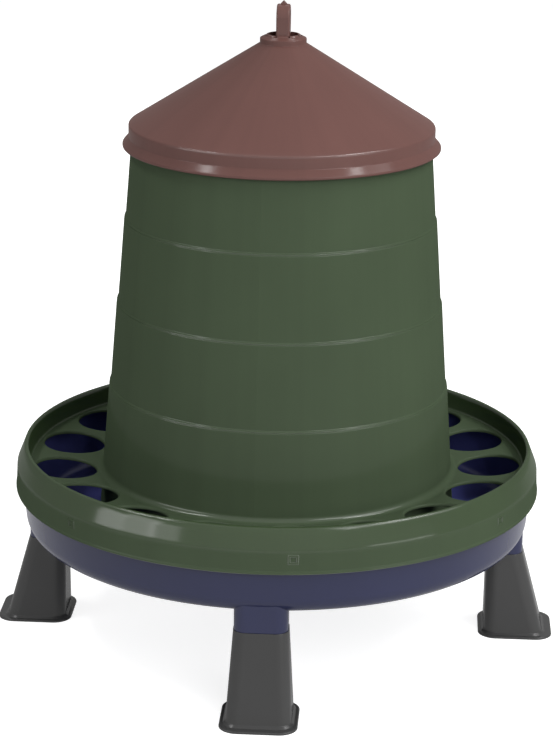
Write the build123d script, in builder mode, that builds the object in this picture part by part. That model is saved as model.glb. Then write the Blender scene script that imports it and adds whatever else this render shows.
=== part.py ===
from build123d import *
import math
import os

# A hopper feeder for poultry, in millimetres. +Z is up, the feet stand on
# Z = 0, and the front leg points along -Y. Radii are measured from the Z axis.

# Heights, each measured up from the level before it
joint_height = 69.8
socket_height = 15.2
dish_depth = 51.0
grid_lift = 1.6
rim_height = 17.6
drum_height = 271.4
lid_shoulder_rise = 4.8
lid_cone_rise = 63.9
collar_rise = 3.9

# Walls and clearances
wall = 2.5
drum_wall = 2.2
lid_wall = 1.8
leg_wall = 2.6
fit_gap = 0.3

# Drum
drum_base_radius = 140.4
drum_draft = 0.0747
ledge_step = 1.1
ledge_groove = 0.4
first_ledge_rise = 68.8
ledge_pitch = 67.4
ledge_count = 3
drum_base_fillet = 5.0
skirt_depth = 33.6

# Grid that keeps the birds from raking the feed out
hole_count = 17
grid_width = 58.6
inner_margin = 5.8
outer_margin = 3.4
egg_share = 0.56
spoke_width = 13.1
hole_edge_radius = 1.6
grid_slope = 0.08
hopper_turn = 6.6

# Rim
rim_draft = 1.6
rim_lip_width = 2.6
rim_spread = 6.3
band_rise = 3.3
band_drop = 15.0
band_draft = 0.7
band_bead = 0.5
band_bead_height = 1.2
seat_width = 2.6
rim_fillet = 3.5
rim_foot_fillet = 1.5
clip_count = 7
clip_width = 7.8
clip_height = 7.2
clip_drop = 3.4
clip_raise = 0.6
clip_recess = 0.6
clip_border = 1.6
clip_lug_width = 6.0
clip_lug_height = 4.0
clip_lug_reach = 0.8

# Dish
dish_corner_fillet = 14.0
dish_wall_slope = 0.1
dish_cone_radius = 112.0
dish_cone_rise = 67.0
dish_cone_top_radius = 7.0

# Lid
lid_skirt_drop = 4.8
lid_edge_drop = 12.2
lid_edge_reach = 4.7
lid_edge_thickness = 2.0
lid_edge_fillet = 0.9
lid_shoulder_fillet = 1.8
lid_flare_fillet = 1.2
collar_radius = 18.1
collar_bore_radius = 14.2
collar_step_radius = 13.2
collar_crown_rise = 1.9
collar_step_drop = 0.3
collar_depth = 17.4
collar_rounding = 0.7
lid_gap = 0.6

# Twist lock between the lid and the drum
lock_count = 4
lock_angle = 14.0
lock_drop = 7.0
lock_thickness = 2.4
lock_reach = 4.0

# Hanger
hanger_rise = 26.1
hanger_thickness = 10.4
hanger_eye_radius = 10.6
hanger_hole_radius = 6.2
hanger_rounding = 1.4
hanger_crest_rise = 2.6
hanger_crest_width = 5.0
hanger_crest_length = 5.0
hanger_flange_width = 4.8
hanger_flange_thickness = 3.0
hanger_notch_count = 8
hanger_notch_width = 1.8
finger_thickness = 2.2
finger_rise = 2.9
finger_slope = 1.1
finger_slot_depth = 3.4

# Legs
leg_count = 4
leg_names = ["leg_front", "leg_right", "leg_back", "leg_left"]
leg_inset = 35.2
leg_depth = 29.5
leg_foot_reach = 19.0
leg_top_half_width = 20.9
leg_foot_half_width = 25.2
leg_corner = 10.0
front = -90
socket_inset = 0.4
socket_plug_depth = 32.0
foot_flange_overhang = 4.4
foot_flange_outer_overhang = 7.0
foot_flange_thickness = 1.8
foot_flare = 1.8
foot_rounding = 1.2

# Levels above the ground and main radii
dish_underside = joint_height + socket_height
dish_rim_height = dish_underside + dish_depth
grid_height = dish_rim_height + grid_lift
rim_lip_height = grid_height + rim_height
drum_top_height = grid_height + drum_height
lid_shoulder_height = drum_top_height + lid_shoulder_rise
lid_cone_top_height = lid_shoulder_height + lid_cone_rise
collar_edge_height = lid_cone_top_height + collar_rise
ledge_height = grid_height + first_ledge_rise
lock_height = drum_top_height - lock_drop
hole_length = grid_width - inner_margin - outer_margin
hole_inner_reach = egg_share * hole_length
hole_outer_reach = hole_length - hole_inner_reach
hole_circle_radius = drum_base_radius + inner_margin + hole_inner_reach
hole_half_width = math.pi * hole_circle_radius / hole_count - spoke_width / 2
rim_inner_radius = drum_base_radius + grid_width

os.makedirs("parts", exist_ok=True)


def drum_radius(height):
    """Outer radius of the drum's tapered wall, with the ledges below this height."""
    radius = drum_base_radius - drum_draft * (height - grid_height)
    for number in range(ledge_count):
        if height > ledge_height + ledge_pitch * number:
            radius = radius - ledge_step
    return radius


def grid_top(radius):
    """Height of the grid's upper face, which rises a little towards the rim."""
    return grid_height + grid_slope * (radius - hole_circle_radius)


def wall_line(inset, groove):
    """Drum wall from the top edge down past the ledges and the groove under each, moved inwards."""
    points = [(drum_radius(drum_top_height) - inset, drum_top_height)]
    for number in reversed(range(ledge_count)):
        level = ledge_height + ledge_pitch * number
        lip_radius = drum_radius(level) - inset
        lip_level = level - ledge_step
        groove_foot = lip_level - 3 * groove
        points.append((lip_radius - ledge_step, level))
        points.append((lip_radius, lip_level))
        points.append((lip_radius - groove, lip_level - groove))
        points.append((drum_radius(groove_foot) - inset, groove_foot))
    return points


def egg_hole():
    """One feeding hole: two half ellipses that meet at the widest place."""
    with BuildSketch() as hole:
        with BuildLine():
            EllipticalCenterArc((0, 0), hole_inner_reach, hole_half_width,
                                start_angle=90, arc_size=180)
            EllipticalCenterArc((0, 0), hole_outer_reach, hole_half_width,
                                start_angle=270, arc_size=180)
        make_face()
    return hole.sketch


def leg_section(height, inset):
    """Rounded rectangle of the front leg at this height, drawn inset by that much."""
    share = (joint_height - height) / joint_height
    outer = leg_top_outer_radius + share * (leg_foot_outer_radius - leg_top_outer_radius)
    half = leg_top_half_width + share * (leg_foot_half_width - leg_top_half_width)
    with BuildSketch(Plane.XY.offset(height)) as section:
        with Locations((0, -(leg_inner_radius + outer) / 2)):
            RectangleRounded(2 * (half - inset), outer - leg_inner_radius - 2 * inset,
                             leg_corner - inset)
    return section.sketch


def corner(section, radius, height):
    """The section's corner nearest to this radius and height."""
    return section.vertices().sort_by_distance((radius, height))[0]


# Hopper: drum, grid and rim are one moulding
# It is drawn with a spoke on +X, then turned so that a hole lies near the front
first_hole = 180 / hole_count
hopper_rotation = front + hopper_turn - first_hole
rim_lip_radius = rim_inner_radius + rim_draft
rim_lip_outer_radius = rim_lip_radius + rim_lip_width
band_radius = rim_lip_outer_radius + rim_spread
band_height = dish_rim_height + band_rise
band_bottom_radius = band_radius + band_draft
band_bottom_height = dish_rim_height - band_drop
rim_slope = rim_spread / (rim_lip_height - band_height)
slope_wall = wall * math.sqrt(1 + rim_slope ** 2)
rim_back_radius = rim_inner_radius + wall
band_inner_radius = band_radius - wall
seat_radius = band_inner_radius - seat_width
apex_radius = rim_back_radius + 0.35 * wall
drum_foot_radius = drum_radius(grid_height)
drum_foot_height = grid_top(drum_foot_radius)
skirt_bottom_height = grid_height - skirt_depth
skirt_radius = drum_radius(skirt_bottom_height)
clip_level = dish_rim_height - clip_drop
clip_radius = band_radius + clip_raise


def under_slope_height(radius):
    """Height of the underside of the rim's sloping face."""
    return rim_lip_height - (radius + slope_wall - rim_lip_outer_radius) / rim_slope


hopper_points = wall_line(0, ledge_groove)
hopper_points += [
    (drum_radius(drum_foot_height), drum_foot_height),
    (rim_inner_radius, grid_top(rim_inner_radius)),
    (rim_lip_radius, rim_lip_height),
    (rim_lip_outer_radius, rim_lip_height),
    (band_radius, band_height),
    (band_bottom_radius, band_bottom_height + 2 * band_bead_height),
    (band_bottom_radius + band_bead, band_bottom_height + band_bead_height),
    (band_bottom_radius + band_bead, band_bottom_height),
    (band_bottom_radius - wall, band_bottom_height),
    (band_inner_radius, dish_rim_height),
    (seat_radius, dish_rim_height),
    (seat_radius, under_slope_height(seat_radius)),
    (apex_radius, under_slope_height(apex_radius)),
    (rim_back_radius, grid_top(rim_back_radius)),
    (rim_back_radius, grid_top(rim_back_radius) - wall),
    (drum_radius(drum_foot_height - wall), drum_foot_height - wall),
    (skirt_radius, skirt_bottom_height),
    (skirt_radius - drum_wall, skirt_bottom_height),
]
hopper_points += reversed(wall_line(drum_wall, ledge_groove / 2))

with BuildPart() as lock_lug:
    lug_radius = drum_radius(lock_height) - drum_wall
    with BuildSketch(Plane.XZ):
        with Locations((lug_radius - lock_reach / 2 + drum_wall / 4, lock_height + lock_thickness / 2)):
            Rectangle(lock_reach + drum_wall / 2, lock_thickness)
    revolve(axis=Axis.Z, revolution_arc=lock_angle)

with BuildPart() as hopper:
    with BuildSketch(Plane.XZ) as hopper_section:
        with BuildLine():
            Polyline(*hopper_points, close=True)
        make_face()
        fillet(corner(hopper_section, drum_radius(drum_foot_height), drum_foot_height), drum_base_fillet)
        fillet(corner(hopper_section, rim_inner_radius, grid_top(rim_inner_radius)), rim_foot_fillet)
        fillet(corner(hopper_section, rim_lip_radius, rim_lip_height), 0.45 * rim_lip_width)
        fillet(corner(hopper_section, rim_lip_outer_radius, rim_lip_height), 0.45 * rim_lip_width)
        fillet(corner(hopper_section, band_radius, band_height), rim_fillet)
    revolve(axis=Axis.Z)
    with BuildSketch(Plane.XY.offset(grid_height - 4 * wall)):
        with PolarLocations(hole_circle_radius, hole_count, start_angle=first_hole):
            add(egg_hole())
    extrude(amount=8 * wall, mode=Mode.SUBTRACT)
    pierced_faces = hopper.faces().filter_by(lambda face: len(face.inner_wires()) >= hole_count)
    grid_face = pierced_faces.sort_by(Axis.Z)[-1]
    hole_rims = grid_face.edges().filter_by(GeomType.CIRCLE, reverse=True)
    fillet(hole_rims.filter_by(GeomType.LINE, reverse=True), hole_edge_radius)
    with PolarLocations(clip_radius - clip_raise, clip_count, start_angle=first_hole):
        with Locations((0, 0, clip_level)):
            Box(2 * clip_raise, clip_width, clip_height)
    with PolarLocations(clip_radius, clip_count, start_angle=first_hole):
        with Locations((0, 0, clip_level)):
            Box(2 * clip_recess, clip_width - 2 * clip_border, clip_height - 2 * clip_border,
                mode=Mode.SUBTRACT)
    with PolarLocations(band_inner_radius, clip_count, start_angle=first_hole):
        with Locations((0, 0, clip_level)):
            Box(2 * (clip_lug_reach + fit_gap), clip_lug_width + 2 * fit_gap,
                clip_lug_height + 2 * fit_gap, mode=Mode.SUBTRACT)
    with PolarLocations(0, lock_count):
        add(lock_lug.part)
turned_hopper = hopper.part.rotate(Axis.Z, hopper_rotation)
turned_hopper.label = "hopper"
export_step(turned_hopper, "parts/hopper.step")

# Legs: open tapered sleeves with a flared foot, set in from the dish's rim
dish_rim_radius = band_inner_radius - fit_gap
leg_inner_radius = dish_rim_radius - leg_inset
leg_top_outer_radius = leg_inner_radius + leg_depth
leg_foot_outer_radius = leg_top_outer_radius + leg_foot_reach
foot_inner_radius = leg_inner_radius - foot_flange_overhang
foot_outer_radius = leg_foot_outer_radius + foot_flange_outer_overhang
with BuildPart() as foot_flange:
    with BuildSketch():
        with Locations((0, -(foot_inner_radius + foot_outer_radius) / 2)):
            RectangleRounded(2 * (leg_foot_half_width + foot_flange_overhang),
                             foot_outer_radius - foot_inner_radius,
                             leg_corner + foot_flange_overhang)
    extrude(amount=foot_flange_thickness)
    fillet(foot_flange.edges().group_by(Axis.Z)[-1], foot_rounding)

with BuildPart() as leg:
    loft(sections=[leg_section(0, 0), leg_section(joint_height, 0)], ruled=True)
    loft(sections=[leg_section(foot_flange_thickness, -foot_flare),
                   leg_section(foot_flange_thickness + foot_flare, 0)], ruled=True)
    add(foot_flange.part)
    loft(sections=[leg_section(-1, leg_wall), leg_section(joint_height + 1, leg_wall)],
         ruled=True, mode=Mode.SUBTRACT)
for number in range(leg_count):
    turned_leg = leg.part.rotate(Axis.Z, 360 / leg_count * number)
    turned_leg.label = leg_names[number]
    export_step(turned_leg, "parts/" + leg_names[number] + ".step")

# Dish: trough, spreading cone and the sockets for the legs are one moulding
dish_floor = dish_underside + wall
plug_inset = leg_wall + fit_gap
plug_bottom_height = joint_height - socket_plug_depth
dish_cone_height = dish_underside + dish_cone_rise


def dish_wall_radius(height):
    """Outer radius of the dish's sloping wall, without its rounded corner."""
    return dish_rim_radius - dish_wall_slope * (dish_rim_height - height)


with BuildPart() as socket:
    with BuildSketch(Plane.XY.offset(joint_height)):
        add(leg_section(joint_height, socket_inset))
    extrude(amount=dish_underside + dish_corner_fillet - joint_height)
    loft(sections=[leg_section(plug_bottom_height, plug_inset), leg_section(joint_height, plug_inset)],
         ruled=True)

with BuildPart() as socket_hollow:
    loft(sections=[leg_section(plug_bottom_height - 1, plug_inset + wall),
                   leg_section(joint_height, plug_inset + wall)], ruled=True)
    with BuildSketch(Plane.XY.offset(joint_height)):
        add(leg_section(joint_height, plug_inset + wall))
    extrude(amount=dish_underside - joint_height)

with BuildPart() as feed_dish:
    with BuildSketch(Plane.XZ) as dish_body:
        with BuildLine():
            Polyline(
                (0, dish_cone_height - wall),
                (dish_cone_top_radius - wall / 2, dish_cone_height - wall),
                (dish_cone_radius - wall, dish_underside),
                (dish_wall_radius(dish_underside), dish_underside),
                (dish_wall_radius(dish_cone_height + wall), dish_cone_height + wall),
                (0, dish_cone_height + wall),
                close=True,
            )
        make_face()
        fillet(corner(dish_body, dish_wall_radius(dish_underside), dish_underside), dish_corner_fillet)
    revolve(axis=Axis.Z)
    with PolarLocations(0, leg_count, start_angle=0):
        add(socket.part)
    with BuildSketch(Plane.XZ) as dish_room:
        with BuildLine():
            Polyline(
                (0, dish_cone_height),
                (dish_cone_top_radius, dish_cone_height),
                (dish_cone_radius, dish_floor),
                (dish_wall_radius(dish_floor) - wall, dish_floor),
                (dish_wall_radius(dish_rim_height) - wall, dish_rim_height),
                (dish_rim_radius + 2 * wall, dish_rim_height),
                (dish_rim_radius + 2 * wall, dish_cone_height + 2 * wall),
                (0, dish_cone_height + 2 * wall),
                close=True,
            )
        make_face()
        fillet(corner(dish_room, dish_wall_radius(dish_floor) - wall, dish_floor),
               dish_corner_fillet - wall)
        fillet(corner(dish_room, dish_cone_radius, dish_floor), dish_corner_fillet)
    revolve(axis=Axis.Z, mode=Mode.SUBTRACT)
    with PolarLocations(0, leg_count, start_angle=0):
        add(socket_hollow.part, mode=Mode.SUBTRACT)
    with PolarLocations(dish_rim_radius, clip_count, start_angle=front + hopper_turn):
        with Locations((0, 0, clip_level)):
            Box(2 * (clip_lug_reach + fit_gap), clip_lug_width, clip_lug_height)
feed_dish.part.label = "feed_dish"
export_step(feed_dish.part, "parts/feed_dish.step")

# Lid: a cone with a drip edge, a collar for the hanger and hooks of the twist lock
lid_skirt_bottom_height = drum_top_height - lid_skirt_drop
lid_skirt_radius = drum_radius(lid_skirt_bottom_height) + lid_gap + lid_wall
lid_edge_height = drum_top_height - lid_edge_drop
lid_edge_radius = lid_skirt_radius + lid_edge_reach
lid_edge_top_height = lid_edge_height + lid_edge_thickness
collar_crown_height = collar_edge_height + collar_crown_rise
collar_step_height = collar_edge_height - collar_step_drop
collar_bottom_height = collar_edge_height - collar_depth
cone_fall = (lid_cone_top_height - lid_shoulder_height) / (lid_skirt_radius - collar_radius)
cone_depth = lid_wall * math.sqrt(1 + cone_fall ** 2)
lid_seat_radius = drum_radius(drum_top_height) - drum_wall - lid_gap
hook_outer_radius = drum_radius(lock_height) - drum_wall - lock_reach - fit_gap
hook_inner_radius = hook_outer_radius - lid_wall
hook_toe_radius = hook_outer_radius + lock_reach - fit_gap


def cone_height(radius):
    """Height of the lid's outer cone."""
    return lid_cone_top_height - cone_fall * (radius - collar_radius)


with BuildPart() as lid_hook:
    with BuildSketch(Plane.XZ):
        with BuildLine():
            Polyline(
                (hook_inner_radius, lock_height - fit_gap - lock_thickness),
                (hook_toe_radius, lock_height - fit_gap - lock_thickness),
                (hook_toe_radius, lock_height - fit_gap),
                (hook_outer_radius, lock_height - fit_gap),
                (hook_outer_radius, cone_height(hook_outer_radius) - cone_depth / 2),
                (hook_inner_radius, cone_height(hook_inner_radius) - cone_depth / 2),
                close=True,
            )
        make_face()
    revolve(axis=Axis.Z, revolution_arc=lock_angle)

with BuildPart() as lid:
    with BuildSketch(Plane.XZ) as lid_section:
        with BuildLine():
            Polyline(
                (collar_bore_radius, collar_crown_height),
                (collar_radius, collar_edge_height),
                (collar_radius, lid_cone_top_height),
                (lid_skirt_radius, lid_shoulder_height),
                (lid_skirt_radius, lid_skirt_bottom_height),
                (lid_edge_radius, lid_edge_top_height),
                (lid_edge_radius, lid_edge_height),
                (lid_edge_radius - lid_edge_thickness, lid_edge_height),
                (lid_skirt_radius - lid_wall, lid_skirt_bottom_height - lid_wall / 2),
                (lid_skirt_radius - lid_wall, drum_top_height),
                (lid_seat_radius, drum_top_height),
                (lid_seat_radius, cone_height(lid_seat_radius) - cone_depth),
                (collar_radius, cone_height(collar_radius) - cone_depth),
                (collar_radius, collar_bottom_height),
                (collar_step_radius, collar_bottom_height),
                (collar_step_radius, collar_step_height),
                (collar_bore_radius, collar_step_height),
                close=True,
            )
        make_face()
        fillet(corner(lid_section, lid_skirt_radius, lid_shoulder_height), lid_shoulder_fillet)
        fillet(corner(lid_section, lid_skirt_radius, lid_skirt_bottom_height), lid_flare_fillet)
        fillet(corner(lid_section, lid_edge_radius, lid_edge_top_height), lid_edge_fillet)
        fillet(corner(lid_section, lid_edge_radius, lid_edge_height), lid_edge_fillet)
        fillet(corner(lid_section, collar_radius, collar_edge_height), collar_rounding)
    revolve(axis=Axis.Z)
    with PolarLocations(0, lock_count, start_angle=hopper_rotation):
        add(lid_hook.part)
lid.part.label = "lid"
export_step(lid.part, "parts/lid.step")

# Hanger: pushed up through the collar from inside, its fingers hook over the collar's step
hanger_top_height = collar_edge_height + hanger_rise
eye_height = hanger_top_height - hanger_eye_radius
hanger_base_height = collar_bottom_height - hanger_flange_thickness
hanger_flange_radius = collar_step_radius + hanger_flange_width
hanger_body_radius = collar_step_radius - fit_gap
finger_radius = collar_bore_radius - fit_gap
finger_top_height = collar_edge_height + finger_rise
finger_slot_radius = finger_radius - finger_thickness

with BuildPart() as hanger_tongue:
    with BuildSketch(Plane.YZ):
        with Locations((0, eye_height)):
            Circle(hanger_eye_radius)
        with Locations((0, (eye_height + collar_bottom_height) / 2)):
            Rectangle(2 * hanger_eye_radius, eye_height - collar_bottom_height)
    extrude(amount=hanger_thickness / 2, both=True)
    broad_faces = hanger_tongue.faces().filter_by(Axis.X)
    fillet(broad_faces.edges(), hanger_rounding)

with BuildPart() as hanger:
    with BuildSketch(Plane.XZ):
        with BuildLine():
            Polyline(
                (0, hanger_base_height),
                (hanger_flange_radius, hanger_base_height),
                (hanger_flange_radius, collar_bottom_height),
                (hanger_body_radius, collar_bottom_height),
                (hanger_body_radius, collar_step_height),
                (finger_radius, collar_step_height),
                (finger_radius, finger_top_height - finger_slope),
                (finger_radius - finger_slope, finger_top_height),
                (finger_slot_radius, finger_top_height),
                (finger_slot_radius, finger_top_height - finger_slot_depth),
                (0, finger_top_height - finger_slot_depth),
                close=True,
            )
        make_face()
    revolve(axis=Axis.Z)
    with BuildSketch(Plane.XY.offset(finger_top_height)):
        with PolarLocations(finger_radius, hanger_notch_count, start_angle=180 / hanger_notch_count):
            Rectangle(3 * finger_thickness, hanger_notch_width)
    extrude(amount=-finger_slot_depth, mode=Mode.SUBTRACT)
    add(hanger_tongue.part)
    with BuildSketch(Plane.YZ):
        with Locations((0, eye_height)):
            Circle(hanger_hole_radius)
    extrude(amount=hanger_thickness, both=True, mode=Mode.SUBTRACT)
    with BuildSketch(Plane.XZ):
        with BuildLine():
            Polyline(
                (-hanger_crest_width / 2, hanger_top_height - hanger_rounding),
                (hanger_crest_width / 2, hanger_top_height - hanger_rounding),
                (hanger_crest_width / 2, hanger_top_height),
                (0, hanger_top_height + hanger_crest_rise),
                (-hanger_crest_width / 2, hanger_top_height),
                close=True,
            )
        make_face()
    extrude(amount=hanger_crest_length / 2, both=True)
hanger.part.label = "hanger"
export_step(hanger.part, "parts/hanger.step")
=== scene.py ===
import math

import bpy
from mathutils import Matrix, Vector

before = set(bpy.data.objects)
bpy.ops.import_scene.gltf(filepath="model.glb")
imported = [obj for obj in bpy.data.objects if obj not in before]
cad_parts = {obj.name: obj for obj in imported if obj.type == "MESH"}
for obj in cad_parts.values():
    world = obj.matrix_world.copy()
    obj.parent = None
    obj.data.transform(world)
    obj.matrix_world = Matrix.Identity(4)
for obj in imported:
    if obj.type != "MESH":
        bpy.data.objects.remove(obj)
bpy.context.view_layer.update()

# Camera, fitted to the photograph: pixels, metres and radians
FRAME_HEIGHT = 737
CAMERA_AZIMUTH = math.radians(3.06)
CAMERA_DISTANCE = 1.93290
CAMERA_HEIGHT = 0.80936
CAMERA_PITCH = 0.29849
CAMERA_YAW = -0.00082
CAMERA_ROLL = 0.01453
CAMERA_FOCUS = 2521.77
SENSOR_WIDTH = 36

# Colours of the moulded plastics, linear
# The hopper's two greens are one plastic: the lighter one, on the drum, grid and band, has
# painted sheen in it standing in for the reflection their weak gloss leaves out; the darker one
# lies under the rim's stronger gloss
GREEN_WITH_PAINTED_SHEEN = (0.0490, 0.0690, 0.0400, 1)
GREEN_UNDER_RIM_GLOSS = (0.0300, 0.0490, 0.0210, 1)
BROWN = (0.1060, 0.0510, 0.0445, 1)
BLUE = (0.0170, 0.0200, 0.0580, 1)
# The blue of the dish's upward faces is lighter: it paints the light that falls into the trough
# through the grid's holes
BLUE_WITH_PAINTED_LIGHT = (0.0450, 0.0500, 0.1700, 1)
GREY = (0.0420, 0.0420, 0.0420, 1)

# Places on the part where a finish starts and ends, in metres
RIM_FOOT_RADII = (0.1975, 0.2000)
BAND_TOP_HEIGHTS = (0.1365, 0.1395)
RIM_FACE_RADII = (0.1995, 0.2005)
RIM_ROLL_HEIGHTS = (0.1490, 0.1552)
RIM_ROLL_DEPTH = 0.0008
DRUM_FOOT_RADII = (0.1406, 0.1430)
DRUM_FOOT_BLUR = 0.0005
LID_SHOULDER_HEIGHTS = (0.4125, 0.4148)
LID_SHOULDER_BLUR = 0.0003
EDGE_ROUNDING = 0.0007
RIM_ROUNDING = 0.0030

# Studio: metres, and brightness where white is 1
FLOOR_SIZE = 12
FLOOR_GREY = (0.5, 0.5, 0.5, 1)
FLOOR_SEEN = 0.8
SKY_LIGHT = 0.2
SKY_SEEN = 1.0
WHITE = (1, 1, 1, 1)
LAMP_DISTANCE = 2.2
LAMP_TARGET = Vector((0, 0, 0.25))

# Lamps: name, degrees right of the camera, degrees up, width and height in metres, brightness
SOFT_BOXES = (
    ("left soft box", -73, 13, 0.50, 0.60, 4.6),
    ("left middle soft box", -59, 18, 0.60, 0.70, 3.6),
    ("left front soft box", -47, 17, 0.50, 0.40, 2.2),
    ("right soft box", 64, 44, 2.3, 0.70, 5.4),
    ("low right soft box", 52, 6, 1.1, 0.22, 6.0),
    ("back soft box", 180, 58, 1.4, 0.25, 7.0),
    ("upper side soft box", -88, 56, 1.3, 0.13, 26.0),
    ("upper side soft box", 88, 56, 1.3, 0.13, 26.0),
)
FILLS = (
    ("front fill", 24, 24, 1.4, 0.80, 7.0),
    ("back fill", 180, 22, 1.4, 0.80, 5.0),
)

# Sockets of a Mix node set to colours, whose names repeat
MIX_FIRST, MIX_SECOND, MIX_RESULT = 6, 7, 2


def node(tree, kind, **values):
    """A shader node with its input sockets set by name."""
    made = tree.nodes.new(kind)
    for name, value in values.items():
        made.inputs[name.replace("_", " ")].default_value = value
    return made


def feed(tree, source, socket):
    """Sets a socket from a value or from another socket."""
    if isinstance(source, (int, float, tuple)):
        socket.default_value = source
    else:
        tree.links.new(source, socket)


def ramp(tree, source, low, high, from_low=0.0, from_high=1.0):
    """Maps a value from one range to another."""
    made = node(tree, "ShaderNodeMapRange", From_Min=from_low, From_Max=from_high)
    feed(tree, source, made.inputs["Value"])
    feed(tree, low, made.inputs["To Min"])
    feed(tree, high, made.inputs["To Max"])
    return made.outputs["Result"]


def maths(tree, operation, first, second):
    """A Math node on two values."""
    made = node(tree, "ShaderNodeMath")
    made.operation = operation
    feed(tree, first, made.inputs[0])
    feed(tree, second, made.inputs[1])
    return made.outputs["Value"]


def vectors(tree, operation, first, second=None):
    """The outputs of a Vector Math node on one or two vectors."""
    made = node(tree, "ShaderNodeVectorMath")
    made.operation = operation
    feed(tree, first, made.inputs[0])
    if second:
        feed(tree, second, made.inputs[1])
    return made.outputs


def surface_point(tree):
    """Where the surface is, in the part's own frame."""
    return node(tree, "ShaderNodeTexCoord").outputs["Object"]


def surface_normal(tree):
    """Which way the surface faces."""
    return node(tree, "ShaderNodeNewGeometry").outputs["Normal"]


def upright(tree, vector):
    """The upward part of a vector."""
    parts = node(tree, "ShaderNodeSeparateXYZ")
    tree.links.new(vector, parts.inputs["Vector"])
    return parts.outputs["Z"]


def height(tree):
    """Height above the ground."""
    return upright(tree, surface_point(tree))


def from_axis(tree):
    """The way out from the feeder's upright axis."""
    return vectors(tree, "MULTIPLY", surface_point(tree), (1, 1, 0))["Vector"]


def around_axis(tree):
    """Distance from the feeder's upright axis."""
    return vectors(tree, "LENGTH", from_axis(tree))["Value"]


def past(tree, value, levels):
    """Rises from zero to one as a value passes from the first level to the second."""
    return ramp(tree, value, 0.0, 1.0, *levels)


def between(tree, value, levels, blur, peak):
    """Has its peak where a value lies between two levels, and is zero elsewhere."""
    low, high = levels
    return maths(tree, "MINIMUM", ramp(tree, value, 0.0, peak, low - blur, low),
                 ramp(tree, value, peak, 0.0, high, high + blur))


def rim_zone(tree):
    """One on the rim above its band, zero on the drum, the grid and the band."""
    return maths(tree, "MULTIPLY", past(tree, around_axis(tree), RIM_FOOT_RADII),
                 past(tree, height(tree), BAND_TOP_HEIGHTS))


def rim_roll(tree):
    """How far the rim's sloping face curves back below its lip."""
    climb = maths(tree, "POWER", past(tree, height(tree), RIM_ROLL_HEIGHTS), 2.0)
    outside = past(tree, around_axis(tree), RIM_FACE_RADII)
    return maths(tree, "MULTIPLY", maths(tree, "MULTIPLY", climb, outside), RIM_ROLL_DEPTH)


def drum_foot(tree):
    """Gloss of the rounding between the drum and the grid."""
    return between(tree, around_axis(tree), DRUM_FOOT_RADII, DRUM_FOOT_BLUR, 0.3)


def lid_shoulder(tree):
    """Gloss of the rounding between the lid's cone and its skirt."""
    return between(tree, height(tree), LID_SHOULDER_HEIGHTS, LID_SHOULDER_BLUR, 1.0)


def dish_faces_up(tree):
    """One where the surface faces up, as the trough does: there the blue is lighter, as painted
    light, and the gloss weaker.
    """
    return past(tree, upright(tree, surface_normal(tree)), (0.02, 0.06))


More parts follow.
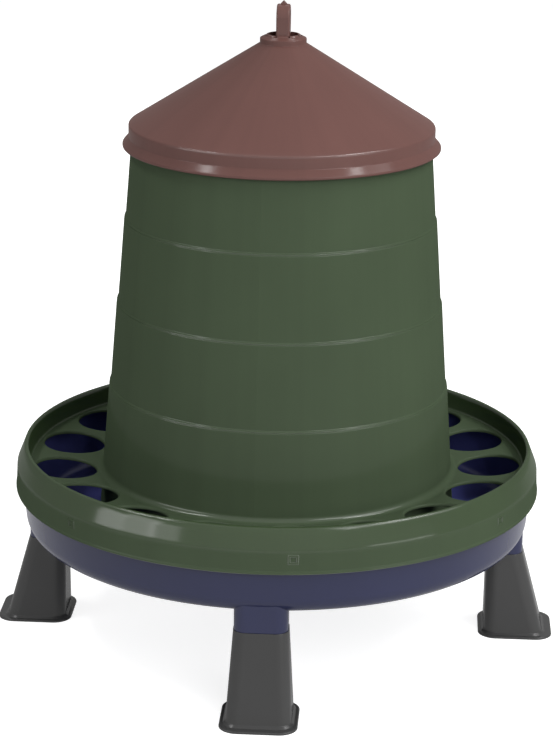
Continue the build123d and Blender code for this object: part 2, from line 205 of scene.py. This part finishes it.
def plastic(name, colour, seed, gloss, grazing_gloss, edge_gloss, coat_roughness, coat_ior=1.5,
            other=None, polished=None, rolled=None):
    """Moulded plastic with flow marks, a fine skin and soft waves under a satin gloss.

    gloss is that of a face seen head on, grazing_gloss that of one seen from the side, and
    edge_gloss that of the edges. other is a second gloss over part of the surface, whose colour
    differs from the first to paint light: where it lies, its colour, its two glosses and how far
    its edges are rounded. polished gives the gloss of a rounding, and rolled how far the surface
    falls away, in metres.
    """
    material = bpy.data.materials.new(name)
    material.use_nodes = True
    tree = material.node_tree
    shader = tree.nodes["Principled BSDF"]
    shader.inputs["Roughness"].default_value = 0.6
    shader.inputs["IOR"].default_value = 1.5
    shader.inputs["Specular IOR Level"].default_value = 0.0
    shader.inputs["Coat Roughness"].default_value = coat_roughness
    shader.inputs["Coat IOR"].default_value = coat_ior

    shift = node(tree, "ShaderNodeMapping", Location=(seed, 0.37 * seed, 0.61 * seed))
    tree.links.new(surface_point(tree), shift.inputs["Vector"])
    flow = node(tree, "ShaderNodeTexNoise", Scale=9.0, Detail=3.0, Roughness=0.5)
    skin = node(tree, "ShaderNodeTexNoise", Scale=900.0, Detail=2.0, Roughness=0.5)
    waves = node(tree, "ShaderNodeTexNoise", Scale=22.0, Detail=1.0, Roughness=0.4)
    for texture in (flow, skin, waves):
        tree.links.new(shift.outputs["Vector"], texture.inputs["Vector"])
    streaks = node(tree, "ShaderNodeTexNoise", Scale=7.0, Detail=4.0, Roughness=0.6)
    around = vectors(tree, "NORMALIZE", from_axis(tree))["Vector"]
    tree.links.new(around, streaks.inputs["Vector"])

    # Colour with faint flow marks and streaks
    tint = node(tree, "ShaderNodeHueSaturation", Color=colour)
    shade = maths(tree, "MULTIPLY", ramp(tree, flow.outputs["Fac"], 0.95, 1.05, 0.3, 0.7),
                  ramp(tree, streaks.outputs["Fac"], 0.965, 1.035, 0.3, 0.7))
    tree.links.new(shade, tint.inputs["Value"])
    tree.links.new(tint.outputs["Color"], shader.inputs["Base Color"])

    # Relief: rounded edges, then the roll, the waves and the skin
    rounded = node(tree, "ShaderNodeBevel", Radius=EDGE_ROUNDING)
    rounded.samples = 8
    relief = rounded.outputs["Normal"]
    layers = [(waves.outputs["Fac"], 0.05, 0.002), (skin.outputs["Fac"], 0.03, 0.0002)]
    if rolled:
        layers.insert(0, (maths(tree, "MULTIPLY", rolled(tree), -1.0), 1.0, 1.0))
    for rise, strength, distance in layers:
        bump = node(tree, "ShaderNodeBump", Strength=strength, Distance=distance)
        tree.links.new(relief, bump.inputs["Normal"])
        tree.links.new(rise, bump.inputs["Height"])
        relief = bump.outputs["Normal"]
    tree.links.new(relief, shader.inputs["Normal"])
    tree.links.new(relief, shader.inputs["Coat Normal"])

    # Gloss, stronger on faces seen head on and on edges
    facing = node(tree, "ShaderNodeLayerWeight", Blend=0.5)
    head_on = maths(tree, "POWER", ramp(tree, facing.outputs["Facing"], 1.0, 0.0), 2.0)
    weight = ramp(tree, head_on, grazing_gloss, gloss)
    if other:
        mask = other["where"](tree)
        tree.links.new(ramp(tree, mask, EDGE_ROUNDING, other["rounding"]),
                       rounded.inputs["Radius"])
        # The second colour paints light: on the hopper a darker green under the rim's gloss, so
        # the lighter green elsewhere carries painted sheen, and in the dish a lighter blue of
        # painted light on the upward faces
        mix = node(tree, "ShaderNodeMix")
        mix.data_type = "RGBA"
        tree.links.new(mask, mix.inputs["Factor"])
        mix.inputs[MIX_FIRST].default_value = colour
        mix.inputs[MIX_SECOND].default_value = other["colour"]
        tree.links.new(mix.outputs[MIX_RESULT], tint.inputs["Color"])
        other_weight = ramp(tree, head_on, other["grazing_gloss"], other["gloss"])
        weight = ramp(tree, mask, weight, other_weight)
    turned = vectors(tree, "DOT_PRODUCT", rounded.outputs["Normal"], surface_normal(tree))
    edge = ramp(tree, turned["Value"], edge_gloss, 0.0, 0.94, 0.995)
    if polished:
        edge = maths(tree, "MAXIMUM", edge, polished(tree))
    edge = maths(tree, "MULTIPLY", edge, past(tree, head_on, (0.3, 0.7)))
    tree.links.new(maths(tree, "MAXIMUM", weight, edge), shader.inputs["Coat Weight"])
    return material


materials = {
    # The rim takes a darker green than the rest of the hopper, so the lighter green elsewhere
    # carries painted sheen in place of the gloss it lacks
    "hopper": plastic(
        "green moulded plastic", GREEN_WITH_PAINTED_SHEEN, 1.0, gloss=0.06, grazing_gloss=0.01, edge_gloss=1.0,
        coat_roughness=0.12, coat_ior=1.8, polished=drum_foot, rolled=rim_roll,
        other={"where": rim_zone, "colour": GREEN_UNDER_RIM_GLOSS, "gloss": 0.42, "grazing_gloss": 0.12,
               "rounding": RIM_ROUNDING}),
    "lid": plastic(
        "brown moulded plastic", BROWN, 2.0, gloss=0.40, grazing_gloss=0.10, edge_gloss=0.4,
        coat_roughness=0.15, polished=lid_shoulder),
    "hanger": plastic(
        "brown hanger plastic", BROWN, 3.0, gloss=0.60, grazing_gloss=0.15, edge_gloss=0.5,
        coat_roughness=0.15),
    # On its upward faces the dish is painted a lighter blue: painted light in the trough
    "feed_dish": plastic(
        "blue moulded plastic", BLUE, 4.0, gloss=0.55, grazing_gloss=0.45, edge_gloss=0.5,
        coat_roughness=0.20,
        other={"where": dish_faces_up, "colour": BLUE_WITH_PAINTED_LIGHT, "gloss": 0.3, "grazing_gloss": 0.3,
               "rounding": EDGE_ROUNDING}),
    "leg": plastic(
        "grey moulded plastic", GREY, 5.0, gloss=0.50, grazing_gloss=0.30, edge_gloss=1.0,
        coat_roughness=0.22),
}

for name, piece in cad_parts.items():
    kind = "leg" if name.startswith("leg") else name
    for place in piece.material_slots:
        place.material = materials[kind]

# Camera
pitch_cos, pitch_sin = math.cos(CAMERA_PITCH), math.sin(CAMERA_PITCH)
roll_cos, roll_sin = math.cos(CAMERA_ROLL), math.sin(CAMERA_ROLL)
level = Vector((math.sin(CAMERA_YAW), math.cos(CAMERA_YAW), 0))
across = Vector((math.cos(CAMERA_YAW), -math.sin(CAMERA_YAW), 0))
forward = level * pitch_cos - Vector((0, 0, pitch_sin))
upward = level * pitch_sin + Vector((0, 0, pitch_cos))
right = across * roll_cos + upward * roll_sin
up = upward * roll_cos - across * roll_sin
stand = Vector((0, -CAMERA_DISTANCE, CAMERA_HEIGHT))
axes = Matrix((
    (right.x, up.x, -forward.x, stand.x),
    (right.y, up.y, -forward.y, stand.y),
    (right.z, up.z, -forward.z, stand.z),
    (0, 0, 0, 1),
))
lens = bpy.data.cameras.new("camera")
lens.sensor_width = SENSOR_WIDTH
lens.lens = CAMERA_FOCUS * SENSOR_WIDTH / FRAME_HEIGHT
camera = bpy.data.objects.new("camera", lens)
bpy.context.scene.collection.objects.link(camera)
camera.matrix_world = Matrix.Rotation(CAMERA_AZIMUTH, 4, "Z") @ axes
bpy.context.scene.camera = camera


def seen_rays(tree):
    """One for the rays that show the surroundings: camera, glossy and transmission."""
    path = node(tree, "ShaderNodeLightPath")
    total = path.outputs["Is Camera Ray"]
    for kind in ("Is Glossy Ray", "Is Transmission Ray"):
        total = maths(tree, "MAXIMUM", total, path.outputs[kind])
    return total


def soft_box(name, side_angle, rise_angle, width, height, glow):
    """A soft box aimed at the middle of the object."""
    data = bpy.data.lights.new(name, "AREA")
    data.shape = "RECTANGLE"
    data.size = width
    data.size_y = height
    data.energy = glow * math.pi * width * height
    lamp = bpy.data.objects.new(name, data)
    side = CAMERA_AZIMUTH + math.radians(side_angle) - math.pi / 2
    rise = math.radians(rise_angle)
    way = Vector((math.cos(side) * math.cos(rise), math.sin(side) * math.cos(rise),
                  math.sin(rise)))
    lamp.location = LAMP_TARGET + LAMP_DISTANCE * way
    lamp.rotation_euler = (-way).to_track_quat("-Z", "Y").to_euler()
    bpy.context.scene.collection.objects.link(lamp)
    return lamp


# Floor
bpy.ops.mesh.primitive_plane_add(size=FLOOR_SIZE)
floor = bpy.context.object
floor.name = "floor"
paper = bpy.data.materials.new("pale floor")
paper.use_nodes = True
paper_tree = paper.node_tree
sheet = paper_tree.nodes["Principled BSDF"]
sheet.inputs["Base Color"].default_value = FLOOR_GREY
sheet.inputs["Roughness"].default_value = 0.9
sheet.inputs["Emission Color"].default_value = WHITE
paper_tree.links.new(ramp(paper_tree, seen_rays(paper_tree), 0.0, FLOOR_SEEN),
                     sheet.inputs["Emission Strength"])
floor.data.materials.append(paper)

# Light
world = bpy.data.worlds.new("studio")
bpy.context.scene.world = world
world.use_nodes = True
world_tree = world.node_tree
sky = world_tree.nodes["Background"]
sky.inputs["Color"].default_value = WHITE
world_tree.links.new(ramp(world_tree, seen_rays(world_tree), SKY_LIGHT, SKY_SEEN),
                     sky.inputs["Strength"])
for box in SOFT_BOXES:
    soft_box(*box)
for box in FILLS:
    soft_box(*box).visible_glossy = False

bpy.context.scene.view_settings.view_transform = "Standard"
